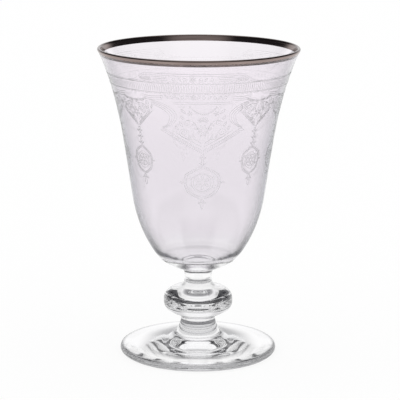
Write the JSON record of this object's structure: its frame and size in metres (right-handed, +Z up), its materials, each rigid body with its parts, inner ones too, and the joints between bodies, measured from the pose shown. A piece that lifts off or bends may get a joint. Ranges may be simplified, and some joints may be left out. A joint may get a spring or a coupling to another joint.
{
  "type": "wine glass",
  "caption": "Clear stemmed wine goblet with a flared bell-shaped bowl, a flattened ball knop on a short stem, a broad round foot and a metal band fired over the lip.",
  "frame": {"origin": "centre of the ring that the foot stands on, at the table's surface", "axes": "+Z up along the axis of the glass, +X to the right and -Y towards the viewer in the picture"},
  "size_m": [0.097, 0.097, 0.15],
  "materials": {
    "clear_glass": "polished clear glass with a faint lavender tint",
    "lip_metal": "polished silver-coloured metal film"
  },
  "bodies": {
    "root": {"bowl": "clear_glass", "stem": "clear_glass", "foot": "clear_glass", "rim_band": "lip_metal"}
  },
  "joints": []
}
